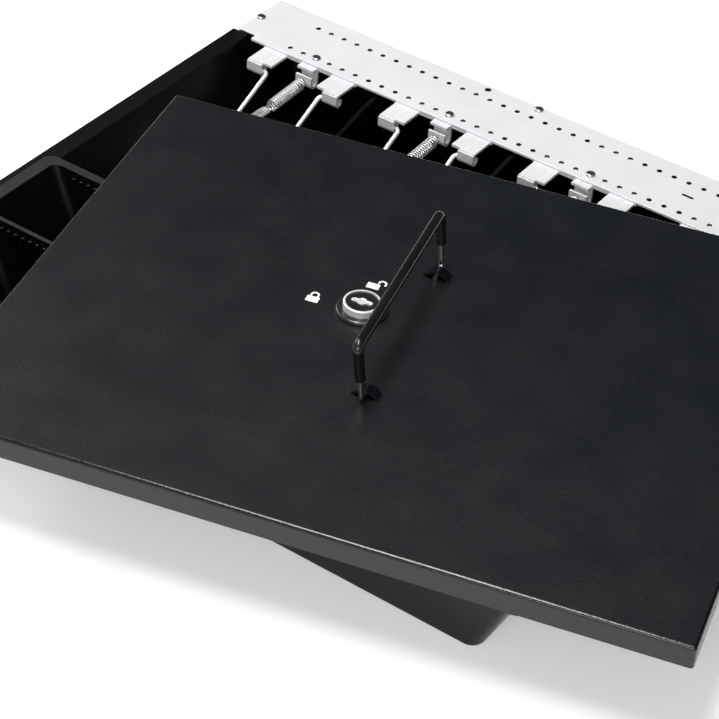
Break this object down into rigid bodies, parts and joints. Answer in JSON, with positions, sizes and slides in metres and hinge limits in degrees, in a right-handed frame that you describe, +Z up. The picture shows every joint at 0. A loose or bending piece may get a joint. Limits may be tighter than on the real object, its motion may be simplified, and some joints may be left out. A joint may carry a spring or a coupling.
{
  "type": "cash tray with locking lid",
  "caption": "Black cash drawer tray with sprung wire bill clips on a pierced steel rail, a ribbed coin insert, and a loose locking steel lid with a wire handle.",
  "frame": {"origin": "on the underside of the tray, at the middle of its base", "axes": "+X along the clip rail to the right seen from the front, +Y towards the rail at the rear, +Z up"},
  "size_m": [0.3863, 0.3541, 0.0793],
  "materials": {
    "tray_plastic": "satin",
    "insert_plastic": "satin",
    "rail_steel": "zinc plated",
    "clip_steel": "zinc plated",
    "rivet_metal": "satin",
    "bail_wire": "bright",
    "spring_wire": "bright",
    "lid_paint": "fine texture powder coat",
    "lock_black": "satin",
    "lock_chrome": "bright",
    "handle_steel": "bright",
    "grip_vinyl": "gloss vinyl"
  },
  "bodies": {
    "tray": {"tray_body": "tray_plastic", "coin_insert": "insert_plastic", "cup_partition_1": "insert_plastic", "cup_partition_2": "insert_plastic", "cup_partition_3": "insert_plastic", "cup_partition_4": "insert_plastic", "cup_partition_5": "insert_plastic", "cup_partition_6": "insert_plastic", "cup_partition_7": "insert_plastic", "rail_plate": "rail_steel", "clip_bracket_1": "clip_steel", "clip_bracket_2": "clip_steel", "clip_bracket_3": "clip_steel", "clip_bracket_4": "clip_steel", "clip_rivets": "rivet_metal", "rail_rivets": "rivet_metal"},
    "lid": {"lid_panel": "lid_paint", "lock_collar": "lock_black", "lock_body": "lock_chrome", "lock_nut": "clip_steel"},
    "handle": {"handle_wire": "handle_steel", "handle_grip": "grip_vinyl"},
    "lock_plug_body": {"lock_plug": "lock_black", "lock_cam": "clip_steel", "cam_screw": "clip_steel"},
    "clip_1": {"bail_1": "bail_wire"},
    "spring_1": {"bail_spring_1": "spring_wire"},
    "clip_2": {"bail_2": "bail_wire"},
    "spring_2": {"bail_spring_2": "spring_wire"},
    "clip_3": {"bail_3": "bail_wire"},
    "spring_3": {"bail_spring_3": "spring_wire"},
    "clip_4": {"bail_4": "bail_wire"},
    "spring_4": {"bail_spring_4": "spring_wire"}
  },
  "joints": [
    {"name": "lid_lift", "type": "slide", "parent": "tray", "child": "lid", "axis": [0, 0, 1], "range_m": [0, 0.12]},
    {"name": "handle_hinge", "type": "hinge", "parent": "lid", "child": "handle", "pos_m": [0.04387, -0.04797, 0.05134], "axis": [-0.2462, 0.9692, 0], "range_deg": [-66, 84]},
    {"name": "lock_turn", "type": "hinge", "parent": "lid", "child": "lock_plug_body", "pos_m": [0.02243, -0.0464, 0.0502], "axis": [0, 0, -1], "range_deg": [0, 90]},
    {"name": "clip_1_hinge", "type": "hinge", "parent": "tray", "child": "clip_1", "pos_m": [-0.1143, 0.0952, 0.0343], "axis": [-1, 0, 0], "range_deg": [0, 12], "stiffness_Nm_per_rad": 0.02, "springref_deg": -28.65},
    {"name": "spring_1_swing", "type": "hinge", "parent": "tray", "child": "spring_1", "pos_m": [-0.1143, 0.1047, 0.032], "axis": [-1, 0, 0], "range_deg": [0, 8.5]},
    {"name": "clip_2_hinge", "type": "hinge", "parent": "tray", "child": "clip_2", "pos_m": [-0.0381, 0.0952, 0.0343], "axis": [-1, 0, 0], "range_deg": [0, 12], "stiffness_Nm_per_rad": 0.02, "springref_deg": -28.65},
    {"name": "spring_2_swing", "type": "hinge", "parent": "tray", "child": "spring_2", "pos_m": [-0.0381, 0.1047, 0.032], "axis": [-1, 0, 0], "range_deg": [0, 8.5]},
    {"name": "clip_3_hinge", "type": "hinge", "parent": "tray", "child": "clip_3", "pos_m": [0.0381, 0.0952, 0.0343], "axis": [-1, 0, 0], "range_deg": [0, 12], "stiffness_Nm_per_rad": 0.02, "springref_deg": -28.65},
    {"name": "spring_3_swing", "type": "hinge", "parent": "tray", "child": "spring_3", "pos_m": [0.0381, 0.1047, 0.032], "axis": [-1, 0, 0], "range_deg": [0, 8.5]},
    {"name": "clip_4_hinge", "type": "hinge", "parent": "tray", "child": "clip_4", "pos_m": [0.1143, 0.0952, 0.0343], "axis": [-1, 0, 0], "range_deg": [0, 12], "stiffness_Nm_per_rad": 0.02, "springref_deg": -28.65},
    {"name": "spring_4_swing", "type": "hinge", "parent": "tray", "child": "spring_4", "pos_m": [0.1143, 0.1047, 0.032], "axis": [-1, 0, 0], "range_deg": [0, 8.5]}
  ],
  "couplings": [
    {"joint": "spring_1_swing", "follows": "clip_1_hinge", "ratio": 0.692},
    {"joint": "spring_2_swing", "follows": "clip_2_hinge", "ratio": 0.692},
    {"joint": "spring_3_swing", "follows": "clip_3_hinge", "ratio": 0.692},
    {"joint": "spring_4_swing", "follows": "clip_4_hinge", "ratio": 0.692}
  ]
}
